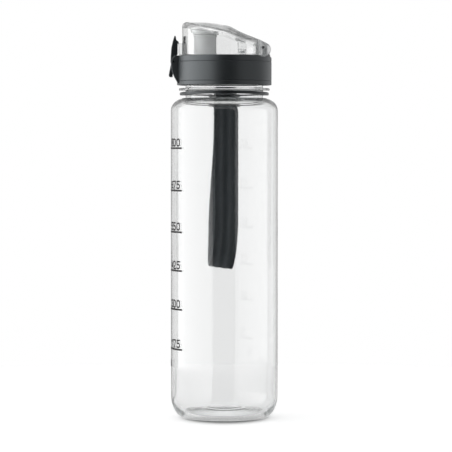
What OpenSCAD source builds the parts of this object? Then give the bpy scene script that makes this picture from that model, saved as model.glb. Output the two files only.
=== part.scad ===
/* [Bottle] */
// Outside radius of the straight body
body_r = 39; // [34:0.5:50]
// Height of the top of the shoulder, where the neck begins
shoulder_top = 235; // [180:1:320]
// Thickness of the clear body wall
wall = 1.8; // [1.2:0.1:2.6]
// Thickness of the floor
floor_t = 2.4; // [1.6:0.1:4]
// Height of the rounded shoulder
shoulder_h = 10; // [6:0.5:16]
// Height of the rounded corner at the base
base_corner_h = 17; // [8:0.5:24]
// Width of the rounded corner at the base
base_corner_w = 10; // [5:0.5:12]
// Width of the flat ring that the bottle stands on
foot_w = 2.5; // [1.5:0.5:5]
// Rise of the hollow under the base
punt_h = 5; // [2:0.5:10]

/* [Neck] */
// Outside radius of the neck tube
neck_r = 28.4; // [26:0.1:29.5]
// Thickness of the neck wall
neck_wall = 2.2; // [1.6:0.1:3]
// Height of the neck above the shoulder
neck_h = 26.2; // [24:0.1:34]
// How far the flange that keeps the strap ring on stands out from the neck
flange_out = 4.8; // [4:0.1:6]
// Thickness of the flange
flange_t = 1.8; // [1.2:0.1:2.4]
// Height of the groove for the strap ring, under the flange
ring_groove_h = 4.8; // [4.6:0.1:6]

/* [Thread] */
// Rise of the thread in one turn
thread_pitch = 4.5; // [4.2:0.1:6]
// Depth of a thread ridge
thread_depth = 1.5; // [1:0.1:1.8]
// Width of a ridge at its root
ridge_root_w = 2; // [1.4:0.1:2]
// Width of a ridge at its crest
ridge_crest_w = 1.2; // [0.6:0.1:1.3]
// Clearance between the neck's thread and the cap's
thread_clear = 0.3; // [0.2:0.05:0.5]
// Turns of ridge on the neck and in the cap
thread_turns = 1.75; // [1:0.25:2]

/* [Strap ring] */
// Width of the ring's section, from its bore outwards
ring_w = 3.6; // [3:0.1:4]
// Height of the ring's section
ring_h = 2.4; // [1.6:0.1:2.4]
// Clearance round the neck
ring_clear = 0.6; // [0.4:0.1:1]
// Lean of the ring, low at the strap
ring_tilt = 1.8; // [0:0.1:1.8]
// Radius of the bar that carries the strap
bar_r = 1.5; // [1:0.1:2]
// Thickness of the two arms that hold the bar
arm_w = 2; // [1.5:0.1:3]

/* [Carry strap] */
// Width of the webbing
strap_w = 18; // [12:0.5:24]
// Thickness of the webbing
strap_t = 2.2; // [1.2:0.1:2.4]
// Drop of the loop below the bar
strap_drop = 127; // [80:1:170]
// Gap between the two runs along the upper half
strap_gap = 1.2; // [0.8:0.1:3]
// How far the outer run stands off at the bottom of the loop
loop_open = 6; // [5:0.5:10]
// Sideways lean of the outer run at the bottom of the loop
loop_lean = 5; // [0:0.1:8]
// Height of the fold at the bottom of the loop
fold_h = 13; // [8:0.5:14]
// Clearance between the webbing and the bottle
strap_clear = 0.4; // [0.3:0.1:2]

/* [Cap] */
// Thickness of the cap core's threaded skirt
core_wall = 2.2; // [1.6:0.1:3]
// Thickness of the cap shell
shell_t = 2.1; // [1.4:0.1:2.4]
// Clearance between the shell and the core
shell_fit = 0.1; // [0.05:0.05:0.2]
// Gap between the flange and the cap's lower edge
skirt_gap = 2.2; // [1:0.1:4]
// Thickness of the deck
deck_t = 2.4; // [2:0.1:3.6]
// Thickness of the neck seal
seal_t = 1.6; // [1:0.1:2.4]
// Width and depth of the two fine grooves round the shell
groove_w = 0.6; // [0.3:0.1:1]

/* [Spout] */
// Distance of the spout inside the neck's bore
spout_in = 4; // [2:0.5:6]
// Outside radius of the spout
spout_r = 8.2; // [7:0.1:9]
// Wall of the spout
spout_wall = 1.7; // [1.2:0.1:2.4]
// Height of the spout above the deck
spout_h = 15.6; // [10:0.1:15.8]
// Distance of the air vent from the bottle's axis
vent_off = 13; // [12:0.5:14]
// Radius of the air vent
vent_r = 1.5; // [1:0.1:1.8]

/* [Lid] */
// Step from the cap's outside in to the lid's
lid_step = 3.8; // [3:0.1:4.6]
// Thickness of the lid's wall
lid_wall = 2.2; // [1.6:0.1:2.4]
// Height of the lid's top above the deck, at the crease
lid_h = 21.8; // [21.8:0.1:26]
// Distance of the crease from the bottle's axis
crease_x = 3.7; // [3:0.1:5]
// Fall of the lid's front part towards the crease
front_fall = 0.8; // [0:0.1:2]
// Place, from the axis towards the hinge, where the lid's top starts to bend down before the crease
arch_x = -9.4; // [-14:0.1:-6]
// Fall of the lid's top between there and the crease, in degrees
arch_fall = 11; // [8:0.5:14]
// Fall of the lid's rear part towards the hinge
rear_fall = 24.6; // [23:0.1:25]
// Radius of the crown across the lid
crown_r = 90; // [80:5:200]
// Radius of the lid's rounded end about the hinge pin
lid_end_r = 6.4; // [6.2:0.1:6.6]
// Running gap under the lid
lid_gap = 0.3; // [0.2:0.1:0.5]

/* [Lid hinge] */
// Distance of the hinge pin inside the cap's outside
pin_in = 6.4; // [6:0.1:6.6]
// Height of the hinge pin above the deck
pin_up = 5.8; // [5.6:0.1:6]
// Radius of the hinge pin
pin_r = 1.2; // [0.8:0.1:1.5]
// Half width of the lug on the deck
lug_half_w = 5; // [3:0.5:7]
// Radius of the lug round the pin
lug_r = 3.2; // [2.4:0.1:3.4]
// Half width of the lid's two knuckles, outside to middle
knuckle_half_w = 13.2; // [11:0.1:14]
// Running clearance of a pin in its bore
pin_clear = 0.05; // [0.02:0.01:0.1]

/* [Latch] */
// Distance of the latch pivot from the cap shell
pivot_off = 2.4; // [2.4:0.1:3]
// Depth of the latch pivot below the deck's top
pivot_down = 4.3; // [4:0.1:5]
// Height of the lever above its pivot
lever_up = 18.7; // [17:0.1:20]
// Length of the lever below its pivot
lever_down = 11.4; // [10:0.1:12]
// Half of the lever's thickness at its pivot
lever_half_t = 2.1; // [1.8:0.1:2.1]
// Half width of the lever
lever_half_w = 7; // [5:0.5:8]
// Thickness of the two ears that hold the lever
ear_t = 2.5; // [1.8:0.1:3]
// Radius of the latch pin
latch_pin_r = 1; // [0.7:0.1:1.2]
// Height of the hook's underside above the pivot
hook_up = 13.3; // [12.8:0.1:13.6]
// How far the lid's catch stands out of the lid
catch_out = 2.9; // [2.4:0.1:2.9]
// Thickness of the catch's lip
catch_t = 2; // [1.4:0.1:2.4]
// Radius of the latch spring's coil
spring_r = 1.6; // [1.2:0.1:1.8]
// Thickness of the spring's wire
wire_d = 0.4; // [0.3:0.05:0.5]

/* [Hidden] */
$fn = 96;

// One overrun serves every cut
over = 1;
// Depth that a joined shape is sunk into the wall that carries it
bite = 0.6;
// Gap above and below the neck seal
seal_gap = 0.1;
// Gap between a soft plug or spring and its seat
rim_gap = 0.1;
// Running gap between a lever or lug and its cheeks
side_gap = 0.3;

// Heights from the bottom up
flange_z = shoulder_top + ring_groove_h;
shell_z0 = flange_z + flange_t + skirt_gap;
rim_z = shoulder_top + neck_h;
deck_z0 = rim_z + seal_t + 2 * seal_gap;
deck_z1 = deck_z0 + deck_t;
lid_z0 = deck_z1 + lid_gap;
crease_z = deck_z1 + lid_h;
arch_z = crease_z + (crease_x - arch_x) * tan(arch_fall);
pin_z = deck_z1 + pin_up;

// Radii of the neck, the flange, the cap and the lid, each from the one inside it
neck_ri = neck_r - neck_wall;
flange_r = neck_r + flange_out;
bore_r = neck_r + thread_depth + thread_clear;
core_r = bore_r + core_wall;
shell_ri = core_r + shell_fit;
cap_r = shell_ri + shell_t;
lid_r = cap_r - lid_step;
pin_x = cap_r - pin_in;
spout_off = neck_ri - spout_r - spout_in;

function share_steps(n) = [for (i = [0:n]) i / n];

// A quarter of an ellipse about (cx, cz), from angle a0 to a1
function quarter(cx, cz, rx, rz, a0, a1, n) =
    [for (s = share_steps(n)) let (a = a0 + (a1 - a0) * s) [cx + rx * cos(a), cz + rz * sin(a)]];

// The hollow under the base rises as a parabola inside the foot ring
foot_r = body_r - base_corner_w;
punt_r = foot_r - foot_w;
function punt(r) = punt_h * (1 - pow(r / punt_r, 2));
punt_steps = 10;
corner_steps = 10;

// Outline of the bottle's wall, up the outside and down the inside
inner_r = body_r - wall;
straight_z1 = shoulder_top - shoulder_h;
floor_rx = inner_r - punt_r;
rim_bevel = 0.4;
bottle_outline = concat(
    [for (s = share_steps(punt_steps)) [punt_r * s, punt(punt_r * s)]],
    quarter(foot_r, base_corner_h, base_corner_w, base_corner_h, -90, 0, corner_steps),
    quarter(neck_r, straight_z1, body_r - neck_r, shoulder_h, 0, 90, corner_steps),
    [[neck_r, flange_z],
     [flange_r - rim_bevel, flange_z],
     [flange_r, flange_z + rim_bevel],
     [flange_r, flange_z + flange_t - rim_bevel],
     [flange_r - rim_bevel, flange_z + flange_t],
     [neck_r, flange_z + flange_t],
     [neck_r, rim_z - rim_bevel],
     [neck_r - rim_bevel, rim_z],
     [neck_ri + rim_bevel, rim_z],
     [neck_ri, rim_z - rim_bevel]],
    quarter(neck_ri, straight_z1, inner_r - neck_ri, shoulder_h - wall, 90, 0, corner_steps),
    quarter(punt_r, base_corner_h, floor_rx, base_corner_h - floor_t, 0, -90, corner_steps),
    [for (s = share_steps(punt_steps - 1)) let (r = punt_r * (1 - s)) [r, floor_t + punt(r)]]
);

// A helical ridge: four corners a section, thinner at both ends
steps_a_turn = 30;
run_out_share = 0.12;
function ridge_rise(s) = min(1, min(s, 1 - s) / run_out_share) * 0.8 + 0.2;
module ridge(root_r, crest_r, start_z) {
    n = round(steps_a_turn * thread_turns);
    points = [for (i = [0:n])
        let (s = i / n,
             a = 360 * thread_turns * s,
             z = start_z + thread_pitch * thread_turns * s,
             rise = ridge_rise(s),
             edge = root_r + (crest_r - root_r) * rise,
             tip_w = ridge_crest_w * rise)
        for (p = [[root_r, -ridge_root_w], [edge, -tip_w], [edge, tip_w], [root_r, ridge_root_w]])
            [p[0] * cos(a), p[0] * sin(a), z + p[1] / 2]];
    outward = crest_r > root_r;
    sides = [for (i = [0:n - 1]) for (k = [0:3])
        let (a = 4 * i + k, b = 4 * i + (k + 1) % 4)
        for (f = [[a, b, b + 4], [a, b + 4, a + 4]]) outward ? f : [f[2], f[1], f[0]]];
    last = 4 * n;
    ends = [for (f = [[0, 3, 2], [0, 2, 1], [last, last + 1, last + 2], [last, last + 2, last + 3]])
        outward ? f : [f[2], f[1], f[0]]];
    polyhedron(points = points, faces = concat(sides, ends));
}

thread_len = thread_pitch * thread_turns;
thread_top_gap = 2.6;
neck_thread_z = rim_z - thread_top_gap - thread_len;

module bottle_body() {
    color([0.88, 0.92, 0.93, 0.35]) {
        union() {
            rotate_extrude() polygon(bottle_outline);
            ridge(neck_r - bite, neck_r + thread_depth, neck_thread_z);
        }
    }
}

// The strap ring lies in the groove, its bar out behind the bottle
ring_ri = neck_r + ring_clear;
ring_ro = ring_ri + ring_w;
ring_z = shoulder_top + ring_groove_h / 2;
ring_bevel = 0.7;
ring_section = [
    [ring_ri, -ring_h / 2 + ring_bevel],
    [ring_ri + ring_bevel, -ring_h / 2],
    [ring_ro - ring_bevel, -ring_h / 2],
    [ring_ro, -ring_h / 2 + ring_bevel],
    [ring_ro, ring_h / 2 - ring_bevel],
    [ring_ro - ring_bevel, ring_h / 2],
    [ring_ri + ring_bevel, ring_h / 2],
    [ring_ri, ring_h / 2 - ring_bevel]
];
eye_clear = 0.4;
eye_r = bar_r + eye_clear + strap_t / 2;
inner_run_y = body_r + strap_clear + strap_t / 2;
bar_y = inner_run_y + eye_r;
bar_reach = bar_y / cos(ring_tilt);
bar_z = ring_z - bar_y * tan(ring_tilt);
strap_side = 0.8;
arm_x = strap_w / 2 + strap_side + side_gap;

module strap_ring() {
    color([0.09, 0.1, 0.11])
    translate([0, 0, ring_z])
    rotate([-ring_tilt, 0, 0])
    union() {
        rotate_extrude() polygon(ring_section);
        for (side = [-1, 1])
            translate([side * (arm_x + arm_w / 2), 0, 0])
            linear_extrude(ring_h, center = true)
            difference() {
                translate([-arm_w / 2, 0]) square([arm_w, bar_reach + bar_r]);
                translate([-side * (arm_x + arm_w / 2), 0]) circle(ring_ri + ring_bevel);
            }
        translate([0, bar_reach, 0]) rotate([0, 90, 0])
            cylinder(r = bar_r, h = 2 * (arm_x + arm_w), center = true);
    }
}

// The loop of webbing: down the inner run, round the bottom, up the outer run, over the bar
loop_r = strap_gap / 2 + strap_t / 2;
loop_end_z = bar_z - strap_drop + strap_t / 2;
eye_blend = 14;
lean_start_share = 0.28;
lean_end_share = 0.75;
function ease(t) = let (c = max(0, min(1, t))) c * c * (3 - 2 * c);
function drop_share(z) = (bar_z - z) / strap_drop;
function lean_share(z) = 
    ease((drop_share(z) - lean_start_share) / (lean_end_share - lean_start_share));
// Distance of the outer run behind the inner run, at a height
function run_apart(z) =
    2 * loop_r + (2 * eye_r - 2 * loop_r) * (1 - ease((bar_z - z) / eye_blend)) + loop_open * lean_share(z);
turn_z = loop_end_z + fold_h;
turn_r = run_apart(turn_z) / 2;
run_steps = 16;
turn_steps = 12;
eye_steps = 8;
// Each station: distance behind the inner run, height, and slope of the path
strap_path = concat(
    [for (s = share_steps(run_steps)) [0, bar_z + (turn_z - bar_z) * s, -90]],
    [for (i = [1:turn_steps - 1]) let (a = 180 * i / turn_steps)
        [turn_r * (1 - cos(a)), turn_z - fold_h * sin(a), atan2(-fold_h * cos(a), turn_r * sin(a))]],
    [for (s = share_steps(run_steps)) let (z = turn_z + (bar_z - turn_z) * s) [run_apart(z), z, 90]],
    [for (i = [1:eye_steps - 1]) let (a = 180 * i / eye_steps)
        [eye_r * (1 + cos(a)), bar_z + eye_r * sin(a), 90 + a]]
);
// The outer run turns its left edge back and leans to the left as it drops
loop_twist = asin(min(0.9, loop_open / strap_w));
module carry_strap() {
    count = len(strap_path);
    points = [for (p = strap_path)
        let (behind = min(1, p[0] / run_apart(p[1])) * lean_share(p[1]),
             twist = -loop_twist * behind,
             x = strap_side - loop_lean * behind)
        for (c = [[-1, -1], [1, -1], [1, 1], [-1, 1]])
            let (across = c[0] * strap_w / 2,
                 thick = c[1] * strap_t / 2,
                 back = inner_run_y + p[0] + thick * sin(p[2]))
            [x + across * cos(twist), back + across * sin(twist), p[1] - thick * cos(p[2])]];
    faces = [for (i = [0:count - 1]) for (k = [0:3])
        let (a = 4 * i + k, b = 4 * i + (k + 1) % 4, j = (4 * (i + 1)) % (4 * count))
        for (f = [[a, j + k, j + (k + 1) % 4], [a, j + (k + 1) % 4, b]]) f];
    color([0.2, 0.22, 0.23]) polyhedron(points = points, faces = faces);
}

// The seal lies on the neck's rim, under the deck
seal_ri = neck_ri - 0.4 * neck_wall;
seal_ro = neck_r + thread_depth / 2;
module neck_seal() {
    color([0.86, 0.87, 0.86])
    translate([0, 0, rim_z + seal_gap])
    difference() {
        cylinder(r = seal_ro, h = seal_t);
        translate([0, 0, -over]) cylinder(r = seal_ri, h = seal_t + 2 * over);
    }
}

// The cap core: threaded skirt, deck, spout, vent and hinge lug
skirt_up = 0.8;
lip_out = 0.5;
lip_h = 1.6;
trough_clear = 0.4;
trough_r = lid_end_r + trough_clear;
vent_boss_r = vent_r + 1;
lug_heel_up = 1.3;
lug_heel_out = 5.8;
core_bevel = 0.6;
spout_ri = spout_r - spout_wall;
cap_thread_z = neck_thread_z - thread_pitch / 2;

module hinge_trough() {
    translate([pin_x, 0, pin_z]) rotate([90, 0, 0])
        cylinder(r = trough_r, h = 2 * (cap_r + over), center = true);
}

// Side view of the lug, with its heel towards the rim
module hinge_lug() {
    rotate([90, 0, 0])
    linear_extrude(2 * lug_half_w, center = true)
    difference() {
        union() {
            translate([pin_x, pin_z]) circle(lug_r);
            polygon([
                [pin_x - lug_r, deck_z0 + bite],
                [pin_x - lug_r, pin_z],
                [pin_x + lug_r, pin_z],
                [pin_x + lug_r, deck_z1 + lug_heel_up],
                [pin_x + lug_heel_out - lug_heel_up, deck_z1 + lug_heel_up],
                [pin_x + lug_heel_out, deck_z1 + seal_gap],
                [core_r - bite, deck_z1 + seal_gap],
                [core_r - bite, deck_z0 + bite]
            ]);
        }
        translate([pin_x, pin_z]) circle(pin_r + pin_clear / 2);
    }
}

module cap_core() {
    color([0.8, 0.81, 0.81]) {
        union() {
            difference() {
                rotate_extrude() polygon([
                    [bore_r, shell_z0 + skirt_up],
                    [core_r - core_bevel, shell_z0 + skirt_up],
                    [core_r, shell_z0 + skirt_up + core_bevel],
                    [core_r, deck_z1],
                    [0, deck_z1],
                    [0, deck_z0],
                    [bore_r, deck_z0]
                ]);
                hinge_trough();
                translate([-spout_off, 0, deck_z0 - over]) cylinder(r = spout_ri, h = deck_t + 2 * over);
                translate([vent_off, 0, deck_z0 - over]) cylinder(r = vent_r, h = deck_t + 2 * over);
            }
            translate([-spout_off, 0, 0]) rotate_extrude() polygon([
                [spout_ri, deck_z1 - bite],
                [spout_r, deck_z1 - bite],
                [spout_r, deck_z1 + spout_h - lip_h],
                [spout_r + lip_out, deck_z1 + spout_h - lip_h + lip_out],
                [spout_r + lip_out, deck_z1 + spout_h - lip_out],
                [spout_r, deck_z1 + spout_h],
                [spout_ri, deck_z1 + spout_h]
            ]);
            translate([vent_off, 0, 0]) rotate_extrude() polygon([
                [vent_r, deck_z1 - bite],
                [vent_boss_r, deck_z1 - bite],
                [vent_boss_r, deck_z1 + lid_gap],
                [vent_r, deck_z1 + lid_gap]
            ]);
            hinge_lug();
            ridge(bore_r + bite, neck_r + thread_clear, cap_thread_z);
        }
    }
}

// The latch pivot and its ears
pivot_x = -(cap_r + pivot_off);
pivot_z = deck_z1 - pivot_down;
ear_in = lever_half_w + side_gap;
ear_out_r = 1.8;
ear_sink = 1.95;
ear_root_x = -cap_r + ear_sink;
ear_up = 1.3;
ear_low = pivot_z - shell_z0 - ear_up;
ear_foot_share = 0.706;
spring_z = pivot_z - 0.57 * lever_down;
seat_rim = 0.3;
seat_r = spring_r + wire_d + seat_rim;
seat_out = 0.3;
spring_x1 = -(cap_r + seat_out);

// Side view of one ear
ear_outline = [
    [ear_root_x, deck_z1],
    [pivot_x + ear_out_r / 2, deck_z1],
    [pivot_x - 0.7 * ear_out_r, pivot_z + 1.1 * ear_out_r],
    [pivot_x - ear_out_r, pivot_z - ear_out_r],
    [pivot_x - 0.7 * ear_out_r, pivot_z - 0.45 * ear_low],
    [pivot_x + 0.17 * ear_out_r, pivot_z - ear_foot_share * ear_low],
    [-cap_r + bite, pivot_z - ear_low],
    [ear_root_x, pivot_z - ear_low]
];
chamfer_r = 2.3;
groove_up = 2.8;
groove_down = 4.1;

module cap_shell() {
    color([0.2, 0.22, 0.24]) {
        difference() {
            union() {
                rotate_extrude() polygon([
                    [shell_ri, shell_z0],
                    [cap_r - groove_w, shell_z0],
                    [cap_r, shell_z0 + groove_w],
                    [cap_r, shell_z0 + groove_up],
                    [cap_r - groove_w / 2, shell_z0 + groove_up + groove_w / 2],
                    [cap_r, shell_z0 + groove_up + groove_w],
                    [cap_r, deck_z1 - groove_down - groove_w],
                    [cap_r - groove_w / 2, deck_z1 - groove_down - groove_w / 2],
                    [cap_r, deck_z1 - groove_down],
                    [cap_r, deck_z1 - groove_w],
                    [cap_r - groove_w, deck_z1],
                    [shell_ri, deck_z1]
                ]);
                for (side = [-1, 1])
                    translate([0, side * (ear_in + ear_t / 2), 0]) rotate([90, 0, 0])
                    linear_extrude(ear_t, center = true) polygon(ear_outline);
                translate([spring_x1, 0, spring_z]) rotate([0, 90, 0])
                    cylinder(r = seat_r, h = seat_out + shell_t / 2);
            }
            hinge_trough();
            translate([cap_r, 0, deck_z1]) rotate([0, 45, 0])
                cube([chamfer_r, 2 * knuckle_half_w, chamfer_r], center = true);
            translate([pivot_x, 0, pivot_z]) rotate([90, 0, 0])
                cylinder(r = latch_pin_r + pin_clear / 2, h = 2 * (ear_in + ear_t + over), center = true);
        }
    }
}

// A cylinder lying along the lid, whose top line passes through the crease, or another place, at a given fall
lid_reach = 3 * lid_r;
module crown(fall, inset, x = crease_x, z = crease_z) {
    translate([x, 0, z]) rotate([0, fall, 0]) translate([0, 0, -crown_r])
    rotate([0, 90, 0]) cylinder(r = crown_r - inset, h = 2 * lid_reach, center = true, $fn = 180);
}
hinge_block = 2.6;
slot_clear = 0.8;
hollow_x = pin_x - lug_r - hinge_block;
slot_x = pin_x - lug_r - slot_clear;
hook_clear = 0.2;
catch_half_w = 5.5;
catch_z1 = pivot_z + hook_up - hook_clear;
catch_up = 0.4;
catch_z0 = lid_z0 + catch_up;
catch_back = 1.5;
catch_sink = 1.5;
// The lid's nose is an arc that runs on from the rear slope
nose_x = pin_x - 0.1 * lid_end_r;
nose_z = pin_z - 0.3 * lid_end_r;
nose_r = (crease_z - nose_z) * cos(rear_fall) - (nose_x - crease_x) * sin(rear_fall);
post_r = 3.2;
post_ri = 2;
plug_fit = 0.1;
plug_t = 1.1;
plug_z0 = deck_z1 + lid_gap + rim_gap;
post_z0 = plug_z0 + plug_t;
seal_disc_r = 9.4;
seal_disc_t = 3.4;
seal_z0 = deck_z1 + spout_h + rim_gap;
holder_wall = 1.2;
holder_fit = 0.15;
holder_down = 1.2;

// What is under the lid's outer surface, less an inset
module lid_block(inset, z0) {
    intersection() {
        translate([0, 0, z0]) cylinder(r = lid_r - inset, h = 2 * lid_h);
        crown(front_fall, inset, arch_x, arch_z);
        crown(arch_fall, inset);
        crown(rear_fall, inset);
    }
}

module lid_end() {
    intersection() {
        translate([0, -knuckle_half_w, lid_z0])
            cube([pin_x + lid_end_r, 2 * knuckle_half_w, 2 * lid_h]);
        crown(arch_fall, 0);
        crown(rear_fall, 0);
    }
}

module flip_lid() {
    color([0.85, 0.88, 0.88, 0.4]) {
        difference() {
            union() {
                difference() {
                    union() {
                        lid_block(0, lid_z0);
                        lid_end();
                    }
                    difference() {
                        lid_block(lid_wall, lid_z0 - over);
                        translate([hollow_x, -cap_r, 0]) cube([cap_r, 2 * cap_r, 2 * deck_z1]);
                    }
                }
                intersection() {
                    union() {
                        translate([vent_off, 0, post_z0]) cylinder(r = post_r, h = 2 * lid_h);
                        translate([-spout_off, 0, seal_z0 + seal_disc_t + rim_gap])
                            cylinder(r = seal_disc_r + holder_fit + holder_wall, h = lid_h);
                        translate([-spout_off, 0, seal_z0 + holder_down])
                            cylinder(r = seal_disc_r + holder_fit + holder_wall, h = lid_h);
                    }
                    lid_block(lid_wall / 2, deck_z1);
                }
                translate([-lid_r - catch_out, -catch_half_w, catch_z1 - catch_t])
                    cube([catch_out + catch_sink, 2 * catch_half_w, catch_t]);
                translate([-lid_r - catch_out + catch_back, -catch_half_w, catch_z0])
                    cube([catch_out - catch_back + catch_sink, 2 * catch_half_w, catch_z1 - catch_z0 - catch_t / 2]);
            }
            translate([-spout_off, 0, seal_z0 - over])
                cylinder(r = seal_disc_r + holder_fit, h = seal_disc_t + rim_gap + over);
            translate([vent_off, 0, post_z0 - over]) cylinder(r = post_ri, h = plug_t * 3 + over);
            translate([slot_x, -lug_half_w - side_gap, lid_z0 - over])
                cube([cap_r, 2 * (lug_half_w + side_gap), 2 * lid_h]);
            translate([nose_x, 0, nose_z]) rotate([0, rear_fall, 0])
            difference() {
                translate([0, -cap_r, -lid_h]) cube([cap_r, 2 * cap_r, 2 * lid_h]);
                rotate([90, 0, 0]) cylinder(r = nose_r, h = 2 * (cap_r + over), center = true);
            }
            difference() {
                translate([pin_x, -cap_r, lid_z0 - over]) cube([cap_r, 2 * cap_r, 2 * lid_h]);
                translate([pin_x, 0, pin_z]) rotate([90, 0, 0])
                    cylinder(r = lid_end_r, h = 2 * (cap_r + over), center = true);
            }
            translate([pin_x, 0, pin_z]) rotate([90, 0, 0])
                cylinder(r = pin_r + pin_clear, h = 2 * (cap_r + over), center = true);
        }
    }
}

// The spout seal: a disc held in the lid, with a plug that enters the spout
plug_down = 2;
plug_slack = 0.7;
plug_taper = 0.5;
module spout_seal() {
    plug_r = spout_ri - plug_slack;
    color([0.9, 0.91, 0.9, 0.8])
    translate([-spout_off, 0, 0]) rotate_extrude() polygon([
        [0, seal_z0 - plug_down],
        [plug_r - plug_taper, seal_z0 - plug_down],
        [plug_r, seal_z0 - plug_down + plug_taper],
        [plug_r, seal_z0],
        [seal_disc_r, seal_z0],
        [seal_disc_r, seal_z0 + seal_disc_t],
        [0, seal_z0 + seal_disc_t]
    ]);
}

// The vent plug: a head on the deck's vent, with a stem up in the lid's post
module vent_plug() {
    color([0.9, 0.91, 0.9, 0.8])
    translate([vent_off, 0, 0]) rotate_extrude() polygon([
        [0, plug_z0],
        [post_r + plug_fit, plug_z0],
        [post_r + plug_fit, post_z0],
        [post_ri - plug_fit, post_z0],
        [post_ri - plug_fit, post_z0 + 2 * plug_t],
        [0, post_z0 + 2 * plug_t]
    ]);
}

module lid_hinge_pin() {
    color([0.6, 0.61, 0.62])
    translate([pin_x, 0, pin_z]) rotate([90, 0, 0])
        cylinder(r = pin_r, h = 2 * knuckle_half_w - side_gap, center = true);
}

// Side view of the lever, outwards and up from its pivot
lever_nose = 4.1;
nose_t = 1.2;
lever_outline = [
    [-0.65 * lever_half_t, lever_up],
    [-0.3 * lever_half_t, lever_up],
    [0.25 * lever_half_t, 0.8 * lever_up],
    [0.8 * lever_half_t, 0.53 * lever_up],
    [1.05 * lever_half_t, 0.12 * lever_up],
    [0.95 * lever_half_t, -0.16 * lever_down],
    [1.7 * lever_half_t, -0.87 * lever_down],
    [1.6 * lever_half_t, -0.96 * lever_down],
    [1.33 * lever_half_t, -lever_down],
    [0.45 * lever_half_t, -lever_down],
    [0.4 * lever_half_t, -0.8 * lever_down],
    [-0.1 * lever_half_t, -0.35 * lever_down],
    [-0.6 * lever_half_t, 0],
    [-lever_half_t, 0.16 * lever_up],
    [-lever_half_t, hook_up],
    [-lever_nose, hook_up],
    [-lever_nose, hook_up + 0.4 * nose_t],
    [-0.9 * lever_nose, hook_up + nose_t],
    [-1.15 * lever_half_t, hook_up + 1.7 * nose_t],
    [-0.9 * lever_half_t, hook_up + 2 * nose_t]
];
pocket_deep = 1.2;
spring_x0 = pivot_x - 0.1 * lever_half_t - pocket_deep;

module latch_lever() {
    color([0.17, 0.19, 0.2]) {
        difference() {
            translate([pivot_x, 0, pivot_z]) rotate([90, 0, 0])
            linear_extrude(2 * lever_half_w, center = true)
            union() {
                mirror([1, 0]) polygon(lever_outline);
                circle(lever_half_t);
            }
            translate([pivot_x, 0, pivot_z]) rotate([90, 0, 0])
                cylinder(r = latch_pin_r + pin_clear, h = 2 * (lever_half_w + over), center = true);
            translate([spring_x0, 0, spring_z]) rotate([0, 90, 0])
                cylinder(r = spring_r + wire_d, h = cap_r);
        }
    }
}

module latch_pin() {
    color([0.6, 0.61, 0.62])
    translate([pivot_x, 0, pivot_z]) rotate([90, 0, 0])
        cylinder(r = latch_pin_r, h = 2 * (ear_in + ear_t), center = true);
}

// The latch spring: one wire wound along X, straight at both ends
spring_turns = 4;
rings_a_turn = 8;
wire_sides = 6;
spring_len = spring_x1 - spring_x0 - 2 * rim_gap;
spring_n = spring_turns * rings_a_turn;
coil_pitch = (spring_len - wire_d) / spring_turns;
spring_mid = [for (i = [0:spring_n]) let (a = 360 * i / rings_a_turn)
    [spring_x0 + rim_gap + wire_d / 2 + (spring_len - wire_d) * i / spring_n,
     (spring_r - wire_d / 2) * cos(a),
     spring_z + (spring_r - wire_d / 2) * sin(a)]];
echo("least gap between the spring's coils", coil_pitch - wire_d);
module latch_spring() {
    points = [for (i = [0:spring_n])
        let (a = 360 * i / rings_a_turn, m = spring_mid[i])
        for (k = [0:wire_sides - 1]) let (b = 360 * k / wire_sides, r = wire_d / 2)
            m + [r * cos(b), r * sin(b) * cos(a), r * sin(b) * sin(a)]];
    faces = concat(
        [for (i = [0:spring_n - 1]) for (k = [0:wire_sides - 1])
            let (a = wire_sides * i + k, b = wire_sides * i + (k + 1) % wire_sides)
            for (f = [[b + wire_sides, b, a], [a + wire_sides, b + wire_sides, a]]) f],
        [[for (k = [0:wire_sides - 1]) k],
         [for (k = [0:wire_sides - 1]) wire_sides * (spring_n + 1) - 1 - k]]
    );
    color([0.6, 0.61, 0.62]) polyhedron(points = points, faces = faces);
}

bottle_body();
strap_ring();
carry_strap();
neck_seal();
cap_core();
cap_shell();
flip_lid();
spout_seal();
vent_plug();
lid_hinge_pin();
latch_lever();
latch_pin();
latch_spring();
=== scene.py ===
# %% [markdown]
# # A clear sports bottle, dressed around its CAD frame
# The CAD model is loaded first and never changed: it says where every piece is. Each piece that shows
# is then made again as a smooth surface, in the same place, and gets its real finish.
# Lengths are written in millimetres, as on a drawing, and turned into metres when a mesh is made.

# %% Load the frame
import bpy
import numpy as np
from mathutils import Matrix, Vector


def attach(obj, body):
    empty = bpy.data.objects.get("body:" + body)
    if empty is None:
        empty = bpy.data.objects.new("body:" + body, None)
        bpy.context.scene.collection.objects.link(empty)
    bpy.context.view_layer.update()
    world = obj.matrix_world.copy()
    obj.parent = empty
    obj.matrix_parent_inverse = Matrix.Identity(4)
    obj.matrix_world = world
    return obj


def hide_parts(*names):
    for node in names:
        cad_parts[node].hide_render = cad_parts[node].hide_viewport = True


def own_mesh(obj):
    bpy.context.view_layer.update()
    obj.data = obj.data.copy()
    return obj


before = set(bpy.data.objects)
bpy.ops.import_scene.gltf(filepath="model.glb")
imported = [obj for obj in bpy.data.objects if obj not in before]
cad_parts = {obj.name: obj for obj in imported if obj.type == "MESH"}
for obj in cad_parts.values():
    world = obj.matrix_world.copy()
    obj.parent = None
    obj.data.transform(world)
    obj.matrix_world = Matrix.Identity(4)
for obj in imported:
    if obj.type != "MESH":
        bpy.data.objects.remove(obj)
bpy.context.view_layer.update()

MM = 0.001

# %% [markdown]
# The camera comes first. A long lens far away keeps a tall bottle from leaning. It stands a little
# above the middle of the bottle, so the foot shows its front edge and the cap is seen almost level.


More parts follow.
